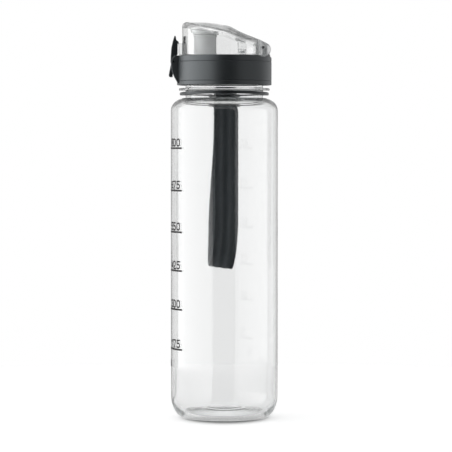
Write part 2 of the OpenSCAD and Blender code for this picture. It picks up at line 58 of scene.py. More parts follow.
# %% Camera
def aim_camera(place, target, lens):
    """A camera at place that looks at target, both in millimetres."""
    data = bpy.data.cameras.new("camera")
    data.lens, data.sensor_width = lens, 36
    data.clip_start, data.clip_end = 0.05, 50
    cam = bpy.data.objects.new("camera", data)
    cam.location = Vector(place) * MM
    cam.rotation_euler = ((Vector(target) - Vector(place)) * MM).to_track_quat("-Z", "Y").to_euler()
    bpy.context.scene.collection.objects.link(cam)
    bpy.context.scene.camera = cam


aim_camera((1.25, -1975, 200.8), (1.25, 0, 140.7), 214.5)
bpy.context.scene.view_settings.view_transform = "Standard"

# %% [markdown]
# Light that enters a clear wall can run along inside it for many turns before it comes out again, as
# in a light guide. With few turns allowed those places go black, so more are allowed here.

# %% Light paths
paths = bpy.context.scene.cycles
paths.max_bounces, paths.glossy_bounces, paths.transmission_bounces = 40, 26, 30
paths.transparent_max_bounces = 24

# %% [markdown]
# ## Surfaces from numbers
# Most pieces of a bottle are turned or extruded, so they are grids: one direction goes along a
# profile and the other round an axis or along a path. A grid could be made with modifiers, but a grid
# of numbers lets a thread, a groove or a chamfer be one more term in the radius or the height.


# %% A mesh from arrays
def stacked(*columns):
    """Arrays and numbers, broadcast together, as the columns of one array."""
    return np.stack(np.broadcast_arrays(*columns), -1)


def put_mesh(name, parts, sharp=35):
    """One object from (points, faces) parts. Points are in millimetres; faces is a list of index arrays,
    each with one row a face. Edges that turn by more than sharp degrees stay crisp."""
    points, corners, sizes, base = [], [], [], 0
    for part_points, part_faces in parts:
        for faces in part_faces:
            corners.append((np.asarray(faces) + base).ravel())
            sizes.append(np.full(len(faces), np.shape(faces)[1]))
        points.append(part_points)
        base += len(part_points)
    points, corners, sizes = np.concatenate(points), np.concatenate(corners), np.concatenate(sizes)
    mesh = bpy.data.meshes.new(name)
    mesh.vertices.add(len(points))
    mesh.vertices.foreach_set("co", (points * MM).astype(np.float32).ravel())
    mesh.loops.add(len(corners))
    mesh.loops.foreach_set("vertex_index", corners.astype(np.int32))
    mesh.polygons.add(len(sizes))
    mesh.polygons.foreach_set("loop_start", np.concatenate([[0], np.cumsum(sizes)[:-1]]).astype(np.int32))
    mesh.update(calc_edges=True)
    mesh.validate()
    mesh.shade_smooth()
    mesh.set_sharp_from_angle(angle=np.radians(sharp))
    piece = bpy.data.objects.new(name, mesh)
    bpy.context.scene.collection.objects.link(piece)
    print(f"{name}: {len(points)} points, {int((sizes - 2).sum())} triangles")
    return piece


def grid(points, round_u=True, round_v=False, poles=(False, False)):
    """A net of four-sided faces over points[u, v], closed in u or v where asked. A pole closes an open
    end of v with a fan to the mean of its last row."""
    nu, nv = points.shape[:2]
    i = np.arange(nu if round_u else nu - 1)[:, None]
    j = np.arange(nv if round_v else nv - 1)[None, :]
    i1, j1 = (i + 1) % nu, (j + 1) % nv
    quads = stacked(i * nv + j, i1 * nv + j, i1 * nv + j1, i * nv + j1)
    flat, faces = [points.reshape(-1, 3)], [quads.reshape(-1, 4)]
    for row, wanted in ((0, poles[0]), (nv - 1, poles[1])):
        if wanted:
            ring = i.ravel() * nv + row
            after = i1.ravel() * nv + row
            tip = np.full(len(ring), sum(len(f) for f in flat))
            flat.append(points[:, row].mean(0, keepdims=True))
            faces.append(np.stack((tip, after, ring) if row == 0 else (ring, after, tip), -1))
    return np.concatenate(flat), faces


# %% [markdown]
# A drawn profile has corners, and a moulded one has small radii. Each corner gets its radius as a
# short curve, which is what makes the edges of a plastic part catch the light.


# %% Profiles and turning
def rounded(corners, radii, steps=4, closed=False):
    """A polyline whose corners are cut by curves: each leaves its corner's two sides at one radius from
    the corner and follows a parabola between them."""
    c = np.asarray(corners, float)
    radii = np.broadcast_to(radii, len(c))
    before, after = np.roll(c, 1, 0) - c, np.roll(c, -1, 0) - c
    s = np.linspace(0, 1, steps + 1)[:, None]
    out = []
    for k in range(len(c)):
        reach = [np.linalg.norm(before[k]), np.linalg.norm(after[k])]
        r = min(radii[k], 0.45 * min(reach))
        if (not closed and k in (0, len(c) - 1)) or r <= 0:
            out.append(c[k:k + 1])
            continue
        a, b = c[k] + before[k] / reach[0] * r, c[k] + after[k] / reach[1] * r
        out.append((1 - s) ** 2 * a + 2 * s * (1 - s) * c[k] + s ** 2 * b)
    return np.concatenate(out)


def angles(n):
    """n angles round a full turn, from 0."""
    return np.arange(n) * 2 * np.pi / n


def ease(t):
    """Smooth step from 0 to 1."""
    c = np.clip(t, 0, 1)
    return c * c * (3 - 2 * c)


def turned(profile, n=192, centre=(0, 0), lift=None, closed=False, poles=(False, False)):
    """A profile of (radius, height) rows carried round a vertical axis at centre: x = r cos a,
    y = r sin a. lift(x, y, z) may then bend the heights."""
    a = angles(n)[:, None]
    r, z = profile[None, :, 0], profile[None, :, 1]
    p = stacked(centre[0] + r * np.cos(a), centre[1] + r * np.sin(a), z)
    if lift:
        p[..., 2] = lift(p[..., 0], p[..., 1], p[..., 2])
    return grid(p, True, closed, poles)


def across_y(part, pin_x, pin_z):
    """A part turned about Z, laid along Y at (pin_x, pin_z): height becomes y."""
    p, faces = part
    return stacked(pin_x + p[:, 1], p[:, 2], pin_z + p[:, 0]), faces


# %% [markdown]
# Some pieces have bosses, slots and hooks that no single grid can follow. They are written as a
# field: a number at each point of space, negative inside, zero on the skin. Joining two shapes is
# then the smaller of two numbers and cutting is the larger, with a radius blended in at the edge.
# A surface net turns the field into faces and slides each point on to the skin, so it stays exact.


# %% Fields
def joined(a, b, r=0.0):
    """Union of two fields, with a fillet of radius r in the inner corner."""
    if r <= 0:
        return np.minimum(a, b)
    return np.maximum(np.minimum(a, b), r) - np.hypot(np.maximum(r - a, 0), np.maximum(r - b, 0))


def common(a, b, r=0.0):
    """Intersection of two fields, with the outer edge rounded to radius r."""
    if r <= 0:
        return np.maximum(a, b)
    return np.minimum(np.maximum(a, b), -r) + np.hypot(np.maximum(a + r, 0), np.maximum(b + r, 0))


def slab(v, low, high):
    """Field of the layer between two values of one coordinate."""
    return np.abs(v - (low + high) / 2) - (high - low) / 2


def block(x, y, z, xs, ys, zs, r=0.2):
    """Field of a box with rounded edges."""
    return common(common(slab(x, *xs), slab(y, *ys), r), slab(z, *zs), r)


def drum(x, y, z, centre, radius, zs, r=0.2):
    """Field of an upright cylinder with rounded rims."""
    return common(np.hypot(x - centre[0], y - centre[1]) - radius, slab(z, *zs), r)


def outline_field(u, v, corners):
    """Distance to a closed polygon, negative inside: the least distance to its sides, with the sign from
    how many sides a ray crosses."""
    c = np.asarray(corners, float)
    least = np.full(u.shape, 1e9)
    inside = np.zeros(u.shape, bool)
    for a, b in zip(c, np.roll(c, -1, 0)):
        e, w = b - a, (u - a[0], v - a[1])
        t = np.clip((w[0] * e[0] + w[1] * e[1]) / (e @ e), 0, 1)
        least = np.minimum(least, np.hypot(w[0] - t * e[0], w[1] - t * e[1]))
        crosses = (a[1] > v) != (b[1] > v)
        if e[1] != 0:
            inside ^= crosses & (u < a[0] + (v - a[1]) / e[1] * e[0])
    return np.where(inside, -least, least)


def beside(at, u, v, du, dv):
    """Index of the cells that lie du and dv steps from some lattice edges, along two axes."""
    cell = at.copy()
    cell[:, u] += du
    cell[:, v] += dv
    return tuple(cell.T)


def skin(field, low, high, pitch):
    """Surface net of a field. Every lattice cell that the zero level crosses gets one point, the mean of
    the crossings on its edges, moved on to the level by Newton steps; every crossed edge gets a face."""
    axes = [np.arange(a, b + pitch, pitch) for a, b in zip(low, high)]
    d = field(*np.meshgrid(*axes, indexing="ij"))
    cells = tuple(n - 1 for n in d.shape)
    total, count = np.zeros(cells + (3,)), np.zeros(cells)
    crossings = []
    for k in range(3):
        u, v = (k + 1) % 3, (k + 2) % 3
        first = np.take(d, range(d.shape[k] - 1), k)
        last = np.take(d, range(1, d.shape[k]), k)
        at = np.argwhere((first < 0) != (last < 0))
        f, g = first[tuple(at.T)], last[tuple(at.T)]
        place = np.stack([axes[m][at[:, m]] for m in range(3)], -1)
        place[:, k] += pitch * f / (f - g)
        for du, dv in ((0, 0), (0, -1), (-1, 0), (-1, -1)):
            cell = beside(at, u, v, du, dv)
            np.add.at(total, cell, place)
            np.add.at(count, cell, 1)
        crossings.append((at, f < 0, u, v))
    used = count > 0
    number = np.full(cells, -1)
    number[used] = np.arange(used.sum())
    p = total[used] / count[used][:, None]
    h = 0.02 * pitch
    for _ in range(3):
        value = field(*p.T)
        slope = np.stack([(field(*(p + s).T) - field(*(p - s).T)) / (2 * h) for s in np.eye(3) * h], -1)
        step = value[:, None] * slope / np.maximum((slope ** 2).sum(1), 0.2)[:, None]
        p -= np.clip(step, -0.4 * pitch, 0.4 * pitch)
    faces = []
    for at, rising, u, v in crossings:
        ring = np.stack([number[beside(at, u, v, du, dv)]
                         for du, dv in ((-1, -1), (0, -1), (0, 0), (-1, 0))], -1)
        faces.append(np.where(rising[:, None], ring, ring[:, ::-1]))
    return p, [np.concatenate(faces)]


# %% [markdown]
# ## Finishes
# Moulded plastic is never quite even: the melt leaves slow waves, and the mould's polish or texture
# leaves fine ones. Both clear and dark pieces use that, so it is one shader group with its own
# values in each material. The group reads Object coordinates, so the pattern stays on the piece.


# %% Nodes
DEGREE = np.pi / 180


def node(tree, kind, sockets=(), **settings):
    """A node with its settings; sockets pairs an input with a value or with another node's output."""
    made = tree.nodes.new(kind)
    for key, value in settings.items():
        setattr(made, key, value)
    for key, value in dict(sockets).items():
        if isinstance(value, bpy.types.NodeSocket):
            tree.links.new(value, made.inputs[key])
        else:
            made.inputs[key].default_value = value
    return made


def maths(tree, operation, *values):
    """Result of a Math node on one to three values."""
    return node(tree, "ShaderNodeMath", enumerate(values), operation=operation).outputs[0]


def times(tree, value, *others):
    """Product of two or more values."""
    for other in others:
        value = maths(tree, "MULTIPLY", value, other)
    return value


def plus(tree, value, *others):
    """Sum of two or more values."""
    for other in others:
        value = maths(tree, "ADD", value, other)
    return value


def remap(tree, source, low, high, start, stop, unit=1.0, kind="LINEAR"):
    """A value carried from one range, counted in units, on to another, and held at both ends."""
    return node(tree, "ShaderNodeMapRange",
                {"Value": source, "From Min": low * unit, "From Max": high * unit,
                 "To Min": start, "To Max": stop}, interpolation_type=kind).outputs[0]


def number_between(tree, factor, a, b):
    """a where the factor is 0, b where it is 1."""
    return node(tree, "ShaderNodeMix", {"Factor": factor, 2: a, 3: b}).outputs[0]


def colour_between(tree, factor, low, high):
    """The same for two colours."""
    return node(tree, "ShaderNodeMix", {"Factor": factor, 6: (*low, 1), 7: (*high, 1)},
                data_type="RGBA").outputs[2]


def noise(tree, where, scale, detail):
    return node(tree, "ShaderNodeTexNoise", {"Vector": where, "Scale": scale, "Detail": detail}).outputs[0]


def split(tree, vector):
    """The X, Y and Z of a vector."""
    return node(tree, "ShaderNodeSeparateXYZ", {0: vector}).outputs


def on_piece(tree):
    """Object coordinates: a pattern that reads them stays on its piece."""
    return node(tree, "ShaderNodeTexCoord").outputs["Object"]


# %% Shader group: moulded skin
SKIN_VALUES = {"Wave Scale": 40, "Grain Scale": 2500, "Wave": 1, "Grain": 0.1,
               "Rough Low": 0.2, "Rough High": 0.3}


def moulded_skin():
    """Slow waves and fine grain from two noises. Height is their sum by strength, Shade is the slow one
    from 0 to 1, and Roughness runs between two values with the grain."""
    tree = bpy.data.node_groups.new("moulded skin", "ShaderNodeTree")
    for label, value in SKIN_VALUES.items():
        tree.interface.new_socket(label, in_out="INPUT", socket_type="NodeSocketFloat").default_value = value
    given = tree.nodes.new("NodeGroupInput").outputs
    wave = noise(tree, on_piece(tree), given["Wave Scale"], 1.5)
    grain = noise(tree, on_piece(tree), given["Grain Scale"], 2.0)
    slow = times(tree, wave, given["Wave"])
    results = {"Height": maths(tree, "MULTIPLY_ADD", grain, given["Grain"], slow),
               "Shade": wave,
               "Roughness": remap(tree, grain, 0.3, 0.7, given["Rough Low"], given["Rough High"])}
    for label in results:
        tree.interface.new_socket(label, in_out="OUTPUT", socket_type="NodeSocketFloat")
    node(tree, "NodeGroupOutput", results)
    return tree


SKIN = moulded_skin()


def blank_material(name, values):
    """A material with its Principled node, its output and some plain numbers on the shader's sockets."""
    made = bpy.data.materials.new(name)
    made.use_nodes = True
    tree = made.node_tree
    shader = tree.nodes["Principled BSDF"]
    for label, value in values.items():
        shader.inputs[label].default_value = value
    return made, tree, shader, tree.nodes["Material Output"]


def dress(tree, shader, colour, rough, height, bump, distance):
    """Links a colour, a roughness and a bump made from a height to the shader."""
    bumped = node(tree, "ShaderNodeBump", {"Strength": bump, "Distance": distance, "Height": height})
    for label, value in (("Base Color", colour), ("Roughness", rough), ("Normal", bumped.outputs["Normal"])):
        tree.links.new(value, shader.inputs[label])


def use_skin(tree, shader, low, high, values, bump, distance):
    """Places the moulded-skin group: its shade mixes two colours, its height feeds a bump."""
    part = node(tree, "ShaderNodeGroup", zip(SKIN_VALUES, values), node_tree=SKIN).outputs
    dress(tree, shader, colour_between(tree, part["Shade"], low, high), part["Roughness"], part["Height"],
          bump, distance)
    return part


# %% [markdown]
# Clear plastic is drawn as glass, at its own index. A real wall tints what is seen along it, which draws
# the grey lines at the bottle's sides, so the volume absorbs a little. Light for what stands behind
# would come only as caustics, which are slow to find: rays from lamps and from matt surfaces see a
# Transparent shader instead, as tinted as the two faces of the wall. The thick foot bends light away
# from the floor under it, so there the shader lets less through and the foot keeps its contact shadow.


# %% Clear plastic
FOOT_SHADE = ((0.1, 1.6, 0.06), (0.5, 9.0, 0.74))


def clear_plastic(name, low, high, rough, index, absorb, density, pass_colour, frosted=None):
    """Glass of one index with a faint volume. frosted gives two x positions in millimetres: beyond them
    the skin is textured, as on a hinge and a catch."""
    made, tree, shader, out = blank_material(name, {"Transmission Weight": 1.0, "IOR": index})
    part = use_skin(tree, shader, low, high, (45, 1800, 1.0, 0.04, *rough), 0.25, 0.0004)
    place = split(tree, on_piece(tree))
    if frosted:
        ends = [remap(tree, place["X"], at, at + blend, 0.0, 0.34, MM)
                for at, blend in zip(frosted, (-1.2, 1.6))]
        tree.links.new(plus(tree, *ends, part["Roughness"]), shader.inputs["Roughness"])
    masks = [remap(tree, place["Z"], *heights, least, 1.0, MM) for *heights, least in FOOT_SHADE]
    tint = node(tree, "ShaderNodeVectorMath", {0: pass_colour, "Scale": times(tree, *masks)},
                operation="SCALE")
    through = node(tree, "ShaderNodeBsdfTransparent", {"Color": tint.outputs[0]})
    path = node(tree, "ShaderNodeLightPath").outputs
    plain = maths(tree, "MAXIMUM", path["Is Shadow Ray"], path["Is Diffuse Ray"])
    mix = node(tree, "ShaderNodeMixShader", {0: plain, 1: shader.outputs[0], 2: through.outputs[0]})
    volume = node(tree, "ShaderNodeVolumeAbsorption", {"Color": (*absorb, 1), "Density": density})
    tree.links.new(mix.outputs[0], out.inputs["Surface"])
    tree.links.new(volume.outputs[0], out.inputs["Volume"])
    return made


CLEAR_BODY = clear_plastic("clear body plastic", (0.979, 0.981, 0.981), (0.988, 0.990, 0.990), (0.0, 0.03),
                           1.5, (0.66, 0.675, 0.675), 46, (0.968, 0.972, 0.972))
CLEAR_LID = clear_plastic("clear lid plastic", (0.970, 0.972, 0.972), (0.982, 0.984, 0.984), (0.02, 0.06),
                          1.57, (0.78, 0.79, 0.79), 30, (0.94, 0.945, 0.945), (-30.6, 23.4))


# %% [markdown]
# The collar, the lever and the ring are nearly black, and the core inside them is pale. The collar has
# a satin finish that spreads the softbox into a broad glow on the left; the others are a touch
# smoother. Colour, grain and specular level tell them apart, as on the real mouldings, so one function
# makes them all, and the print's ink as well.


# %% Solid plastics
def solid_plastic(name, low, high, rough, specular, grain, index=1.5):
    """An opaque moulded plastic between two colours and two roughnesses; grain is the noise's scale."""
    made, tree, shader, _ = blank_material(
        name, {"IOR": index, "Specular Tint": (0.94, 1.0, 1.03, 1), "Specular IOR Level": specular})
    use_skin(tree, shader, low, high, (60, grain, 0.25, 0.8, *rough), 0.35, 0.00012)
    return made


DARK_SHELL = solid_plastic("dark cap shell", (0.0065, 0.0095, 0.0115), (0.0090, 0.0120, 0.0145),
                           (0.36, 0.45), 0.78, 1500, index=1.7)
PALE_CORE = solid_plastic("pale cap core", (0.60, 0.61, 0.61), (0.66, 0.67, 0.67), (0.30, 0.40), 0.5, 1900)
DARK_LEVER = solid_plastic("dark latch lever", (0.019, 0.022, 0.024), (0.025, 0.028, 0.031),
                           (0.26, 0.36), 0.6, 1900)
BLACK_RING = solid_plastic("black soft plastic", (0.006, 0.007, 0.008), (0.009, 0.010, 0.011),
                           (0.26, 0.36), 0.85, 2200)
INK = solid_plastic("print ink", (0.010, 0.008, 0.008), (0.022, 0.017, 0.016), (0.45, 0.6), 0.35, 4000)


# %% [markdown]
# The seals are milky silicone: most light goes into them, scatters and comes back white. Pins and
# spring are bright steel stock with fine marks drawn out along the pins.


# %% Silicone and steel
def milky_silicone():
    made, tree, shader, _ = blank_material(
        "milky silicone", {"IOR": 1.41, "Subsurface Weight": 0.5, "Subsurface Radius": (1.0, 1.0, 1.0),
                           "Subsurface Scale": 0.002})
    use_skin(tree, shader, (0.70, 0.715, 0.71), (0.78, 0.79, 0.785), (90, 3000, 0.4, 0.3, 0.32, 0.45),
             0.2, 0.0002)
    return made


def drawn_steel():
    made, tree, shader, _ = blank_material("drawn steel", {"Metallic": 1.0})
    along = node(tree, "ShaderNodeMapping", {"Vector": on_piece(tree), "Scale": (1.0, 0.04, 1.0)})
    marks = noise(tree, along.outputs[0], 6000, 2.0)
    dress(tree, shader, colour_between(tree, marks, (0.42, 0.43, 0.44), (0.56, 0.57, 0.58)),
          remap(tree, marks, 0.3, 0.7, 0.2, 0.38), marks, 0.3, 0.00005)
    return made


SILICONE = milky_silicone()
STEEL = drawn_steel()


# %% [markdown]
# Webbing is woven: fine cross ridges ride on broad lengthwise ribs. The ribs are in the mesh, and their
# colour is paler along their tops. The two edges of the band are painted darker: a painted shade that
# holds down the light their round edges catch, and that evens out the paler rib tops there. The weave
# follows the strap's own UV map, whose unit is a millimetre, as two crossed waves.


# %% Webbing
RIB_AT, RIB_PITCH = 3.1, 6.1
WEAVE = {"X": 0.9, "Y": 0.6}


def webbing(name):
    """Two sine waves crossed make the weave; a cosine of the place across shows the ribs' tops."""
    made, tree, shader, _ = blank_material(
        name, {"IOR": 1.5, "Specular IOR Level": 0.35, "Sheen Weight": 0.12, "Sheen Roughness": 0.4})
    uv = node(tree, "ShaderNodeUVMap", uv_map="strap_mm").outputs[0]
    place = split(tree, uv)
    waves = [maths(tree, "SINE", times(tree, place[axis], 2 * np.pi / pitch))
             for axis, pitch in WEAVE.items()]
    woven = remap(tree, times(tree, *waves), -1.0, 1.0, 0.0, 1.0)
    fuzz = noise(tree, uv, 3.0, 3.0)
    height = maths(tree, "MULTIPLY_ADD", fuzz, 0.35, woven)
    turn = maths(tree, "MULTIPLY_ADD", place["Y"], 2 * np.pi / RIB_PITCH, -2 * np.pi * RIB_AT / RIB_PITCH)
    # Paler colour along the ribs' tops, set by a cosine of the place across the band.
    crest_tone = remap(tree, maths(tree, "COSINE", turn), -1.0, 1.0, -0.25, 0.25)
    # Painted shade: the band's two edges are darkened, holding down the light their round edges catch.
    painted_edge_shade = remap(tree, maths(tree, "ABSOLUTE", place["Y"]), 6.6, 8.6, 0.0, -0.5)
    tone = maths(tree, "MULTIPLY_ADD", height, 0.6, plus(tree, crest_tone, painted_edge_shade))
    dress(tree, shader, colour_between(tree, tone, (0.046, 0.053, 0.060), (0.108, 0.123, 0.134)),
          remap(tree, fuzz, 0.0, 1.0, 0.5, 0.75), height, 0.5, 0.00012)
    return made


WEBBING = webbing("ribbed webbing")


# %% A finished piece
def add_piece(name, parts, material, body, slot, *nodes, sharp=35):
    """Makes a mesh, gives it its material and body, and says which CAD nodes it stands for."""
    piece = put_mesh(name, parts, sharp)
    piece.data.materials.append(material)
    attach(piece, body)
    if nodes:
        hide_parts(*nodes)
    return piece


# %% [markdown]
# ## The bottle
# The body is one blown and moulded wall. Its section is drawn once, up the outside and down the
# inside, with a hollow under the base, a rounded corner, a straight wall, a shoulder, a flange and
# the neck. Turning it gives the whole piece, and the thread is a helix added to the neck's radius.

# %% Sizes that several pieces share
BODY_R, WALL, NECK_R, NECK_RI, RIM_Z = 39.2, 1.8, 28.4, 26.2, 261.2
FOOT_R, PUNT_R, PUNT_H, FLOOR_T, CORNER_Z = 29.0, 26.5, 5.0, 2.4, 17.0
SHOULDER_Z, SHOULDER_H = 235.0, 10.0
FLANGE_R, FLANGE_Z, FLANGE_T = 33.2, 239.8, 1.8
DECK_Z, CAP_R, SHELL_Z = 265.4, 34.6, 243.8
PIN_X, PIN_Z, PIVOT_X, PIVOT_Z = 28.2, 271.2, -37.0, 261.1
SPOUT_X, SPOUT_R, VENT_X, SPRING_Z = -14.0, 8.2, 13.0, 254.6
TROUGH_R, KNUCKLE_Y, LUG_Y, LEVER_Y = 6.8, 13.2, 5.0, 7.0
THREAD_PITCH, THREAD_TURNS, THREAD_RISE, THREAD_Z = 4.5, 1.75, 1.5, 250.725
GATE_X, GATE_Y, GATE_R = 17.5, -3.0, 2.6


def ellipse_arc(centre, reach, start, stop, steps):
    """Rows of (radius, height) on an ellipse, between two angles in degrees."""
    a = np.radians(np.linspace(start, stop, steps + 1))
    return stacked(centre[0] + reach[0] * np.cos(a), centre[1] + reach[1] * np.sin(a))


def straight(a, b, steps):
    return np.linspace(a, b, steps + 1)


def hollow(r):
    """Height of the hollow under the base: a parabola, with a shallow ring round a raised middle."""
    return PUNT_H * (1 - (r / PUNT_R) ** 2) - 0.35 * np.exp(-((r - 13) / 1.6) ** 2)


UNDER_ROWS = 44


def bottle_profile():
    """The wall's section, outside first. The rows of the neck lie close, for the thread."""
    inner = BODY_R - WALL
    wall_z = SHOULDER_Z - SHOULDER_H
    under = np.linspace(0.6, PUNT_R, UNDER_ROWS)
    foot = rounded([(PUNT_R - 0.6, hollow(PUNT_R - 0.6)), (PUNT_R, 0.0), (FOOT_R, 0.0), (FOOT_R + 0.8, 0.1)],
                   [0, 0.5, 0.4, 0], 3)
    flange = rounded([(NECK_R, FLANGE_Z - 1.2), (NECK_R, FLANGE_Z), (FLANGE_R, FLANGE_Z),
                      (FLANGE_R, FLANGE_Z + FLANGE_T), (NECK_R, FLANGE_Z + FLANGE_T),
                      (NECK_R, FLANGE_Z + FLANGE_T + 1.2)], [0, 0.5, 0.6, 0.6, 0.5, 0], 5)
    rim = rounded([(NECK_R, RIM_Z - 0.6), (NECK_R, RIM_Z), (NECK_RI, RIM_Z), (NECK_RI, RIM_Z - 0.6)],
                  [0, 0.55, 0.7, 0], 5)
    return np.concatenate([
        stacked(under[:-3], hollow(under[:-3])),
        foot[1:-1],
        ellipse_arc((FOOT_R, CORNER_Z), (BODY_R - FOOT_R, CORNER_Z), -86, 0, 30),
        straight((BODY_R, CORNER_Z), (BODY_R, wall_z), 40)[1:],
        ellipse_arc((NECK_R, wall_z), (BODY_R - NECK_R, SHOULDER_H - 0.4), 0, 90, 28)[1:],
        flange,
        straight((NECK_R, FLANGE_Z + 3.2), (NECK_R, RIM_Z - 0.7), 62),
        rim,
        straight((NECK_RI, RIM_Z - 1), (NECK_RI, wall_z + SHOULDER_H - WALL), 8),
        ellipse_arc((NECK_RI, wall_z), (inner - NECK_RI, SHOULDER_H - WALL), 90, 0, 28)[1:],
        straight((inner, wall_z), (inner, CORNER_Z), 40)[1:],
        ellipse_arc((PUNT_R, CORNER_Z), (inner - PUNT_R, CORNER_Z - FLOOR_T), 0, -90, 30)[1:],
        stacked(under[::-1], FLOOR_T + hollow(under[::-1]))[1:]])


def ridge_rise(a, z, start):
    """How far up the thread's ridge a point at angle a and height z is, from 0 to 1. The helix climbs one
    pitch a turn; its ends fade over a short arc."""
    rise = np.zeros(np.broadcast_shapes(a.shape, z.shape))
    for lap in range(3):
        turn = a / (2 * np.pi) + lap
        along = np.clip(np.minimum(turn, THREAD_TURNS - turn) / 0.12, 0, 1)
        off = np.abs(z - start - THREAD_PITCH * turn)
        rise = np.maximum(rise, np.clip((1.05 - off) / 0.45, 0, 1) * along)
    return ease(rise)


def bottle_shell():
    """Turns the profile, then adds the thread to the neck and a small gate ring under the base."""
    profile = bottle_profile()
    a = angles(288)[:, None]
    r, z = profile[None, :, 0], profile[None, :, 1]
    neck = (r > NECK_R - 0.05) & (z > FLANGE_Z + 3) & (z < RIM_Z - 0.6)
    r = r + THREAD_RISE * ridge_rise(a, z, THREAD_Z) * neck
    x, y = r * np.cos(a), r * np.sin(a)
    gate = np.hypot(x - GATE_X, y - GATE_Y)
    under = (np.arange(len(profile)) < UNDER_ROWS)[None, :]
    z = z - 0.30 * np.exp(-((gate - GATE_R) / 0.55) ** 2) * under
    return grid(stacked(x, y, z), poles=(True, True))


add_piece("bottle_shell", [bottle_shell()], CLEAR_BODY, "bottle", "clear_body", "bottle_body")

# %% [markdown]
# ## The printed scale
# Ticks and plain volume numbers are printed on the outside, wrapped round the wall. Each stroke is a
# flat ribbon a few hundredths of a millimetre thick: its centre line is drawn on the unrolled wall,
# as arc length and height, and every point is then rolled on to the cylinder.

# %% Strokes
INK_W, INK_T, INK_SINK = 1.1, 0.05, 0.02
DIGITS = {
    "0": [[(0.5, 0), (0.08, 0.14), (0, 0.5), (0.08, 0.86), (0.5, 1), (0.92, 0.86), (1, 0.5), (0.92, 0.14),
           (0.5, 0)]],
    "1": [[(0.15, 0.78), (0.6, 1), (0.6, 0)]],
    "2": [[(0.05, 0.78), (0.25, 0.97), (0.7, 1), (0.95, 0.8), (0.85, 0.52), (0.05, 0), (1, 0)]],
    "3": [[(0.05, 0.88), (0.45, 1), (0.9, 0.86), (0.85, 0.58), (0.45, 0.52), (0.95, 0.44), (0.95, 0.14),
           (0.5, 0), (0.02, 0.12)]],
    "4": [[(0.75, 0), (0.75, 1), (0.02, 0.3), (1, 0.3)]],
    "5": [[(0.9, 1), (0.15, 1), (0.1, 0.55), (0.6, 0.62), (0.95, 0.42), (0.9, 0.12), (0.5, 0), (0.03, 0.1)]],
    "6": [[(0.85, 0.95), (0.4, 0.9), (0.08, 0.5), (0.08, 0.15), (0.5, 0), (0.92, 0.14), (0.9, 0.46),
           (0.5, 0.58), (0.1, 0.4)]],
    "7": [[(0.02, 1), (1, 1), (0.4, 0)]],
    "8": [[(0.5, 0.53), (0.12, 0.68), (0.15, 0.92), (0.5, 1), (0.85, 0.92), (0.88, 0.68), (0.5, 0.53),
           (0.05, 0.36), (0.05, 0.1), (0.5, 0), (0.95, 0.1), (0.95, 0.36), (0.5, 0.53)]],
    "m": [[(0, 0), (0, 0.7)], [(0, 0.5), (0.25, 0.7), (0.48, 0.5), (0.48, 0)],
          [(0.48, 0.5), (0.74, 0.7), (1, 0.5), (1, 0)]],
    "l": [[(0.4, 1), (0.4, 0.1), (0.7, 0)]],
}


def stroke(line, width, step=0.5):
    """A ribbon of one width along a polyline on the unrolled wall (arc, height), rolled on to the wall."""
    line = np.asarray(line, float)
    runs = np.linalg.norm(np.diff(line, axis=0), axis=1)
    s = np.concatenate([[0], np.cumsum(runs)])
    at = np.union1d(s, np.linspace(0, s[-1], max(2, int(s[-1] / step) + 1)))
    p = np.stack([np.interp(at, s, line[:, k]) for k in (0, 1)], -1)
    t = np.gradient(p, axis=0)
    t /= np.linalg.norm(t, axis=1)[:, None]
    p[0] -= t[0] * width / 2
    p[-1] += t[-1] * width / 2
    side = stacked(-t[:, 1], t[:, 0]) * width / 2
    rows = []
    for sign, out in ((1, -INK_SINK), (1, INK_T), (-1, INK_T), (-1, -INK_SINK)):
        q = p + sign * side
        a = q[:, 0] / BODY_R
        rows.append(stacked((BODY_R + out) * np.sin(a), -(BODY_R + out) * np.cos(a), q[:, 1]))
    points, faces = grid(np.stack(rows, 0))
    n = len(at)
    ends = np.array([[0, n, 2 * n, 3 * n], [4 * n - 1, 3 * n - 1, 2 * n - 1, n - 1]])
    return points, faces + [ends]


def word(text, right, foot, height, width, gap):
    """Characters side by side, ending at arc right; each is drawn in a box of width by height."""
    left = right - len(text) * width - (len(text) - 1) * gap
    parts = []
    for k, letter in enumerate(text):
        for line in DIGITS[letter]:
            places = [(left + k * (width + gap) + u * width, foot + v * height) for u, v in line]
            parts.append(stroke(places, INK_W))
    return parts


TICKS = {"175": 51.4, "300": 80.5, "425": 108.7, "550": 136.8, "675": 167.0, "800": 197.8}
ARC = BODY_R * DEGREE
for volume, z in TICKS.items():
    parts = [stroke([(-101 * ARC, z), (-52.6 * ARC, z)], 1.3)]
    parts += word(volume, -55.6 * ARC, z + 1.5, 5.2, 4.3, 1.8)
    add_piece(f"mark_{volume}", parts, INK, "bottle", "black_rubber")
add_piece("mark_unit", word("ml", -79.5 * ARC, 38.4, 5.4, 4.6, 1.2), INK, "bottle", "black_rubber")

# %% [markdown]
# ## The strap ring and its webbing
# The ring lies loose in the groove under the flange. Two arms carry a bar behind the bottle, and the
# webbing loop hangs on that bar. The ring and its arms are one moulding, so they are one field with
# fillets where the arms leave the ring; a torus with boxes stuck on would show hard seams.

# %% Strap ring
RING_RI, RING_W, RING_H, RING_Z, RING_TILT = 29.0, 3.6, 2.1, 237.4, 1.8 * DEGREE
BAR_Y, BAR_R, ARM_X, ARM_W = 43.5, 1.5, 10.1, 2.0
BAR_REACH = BAR_Y / np.cos(RING_TILT)


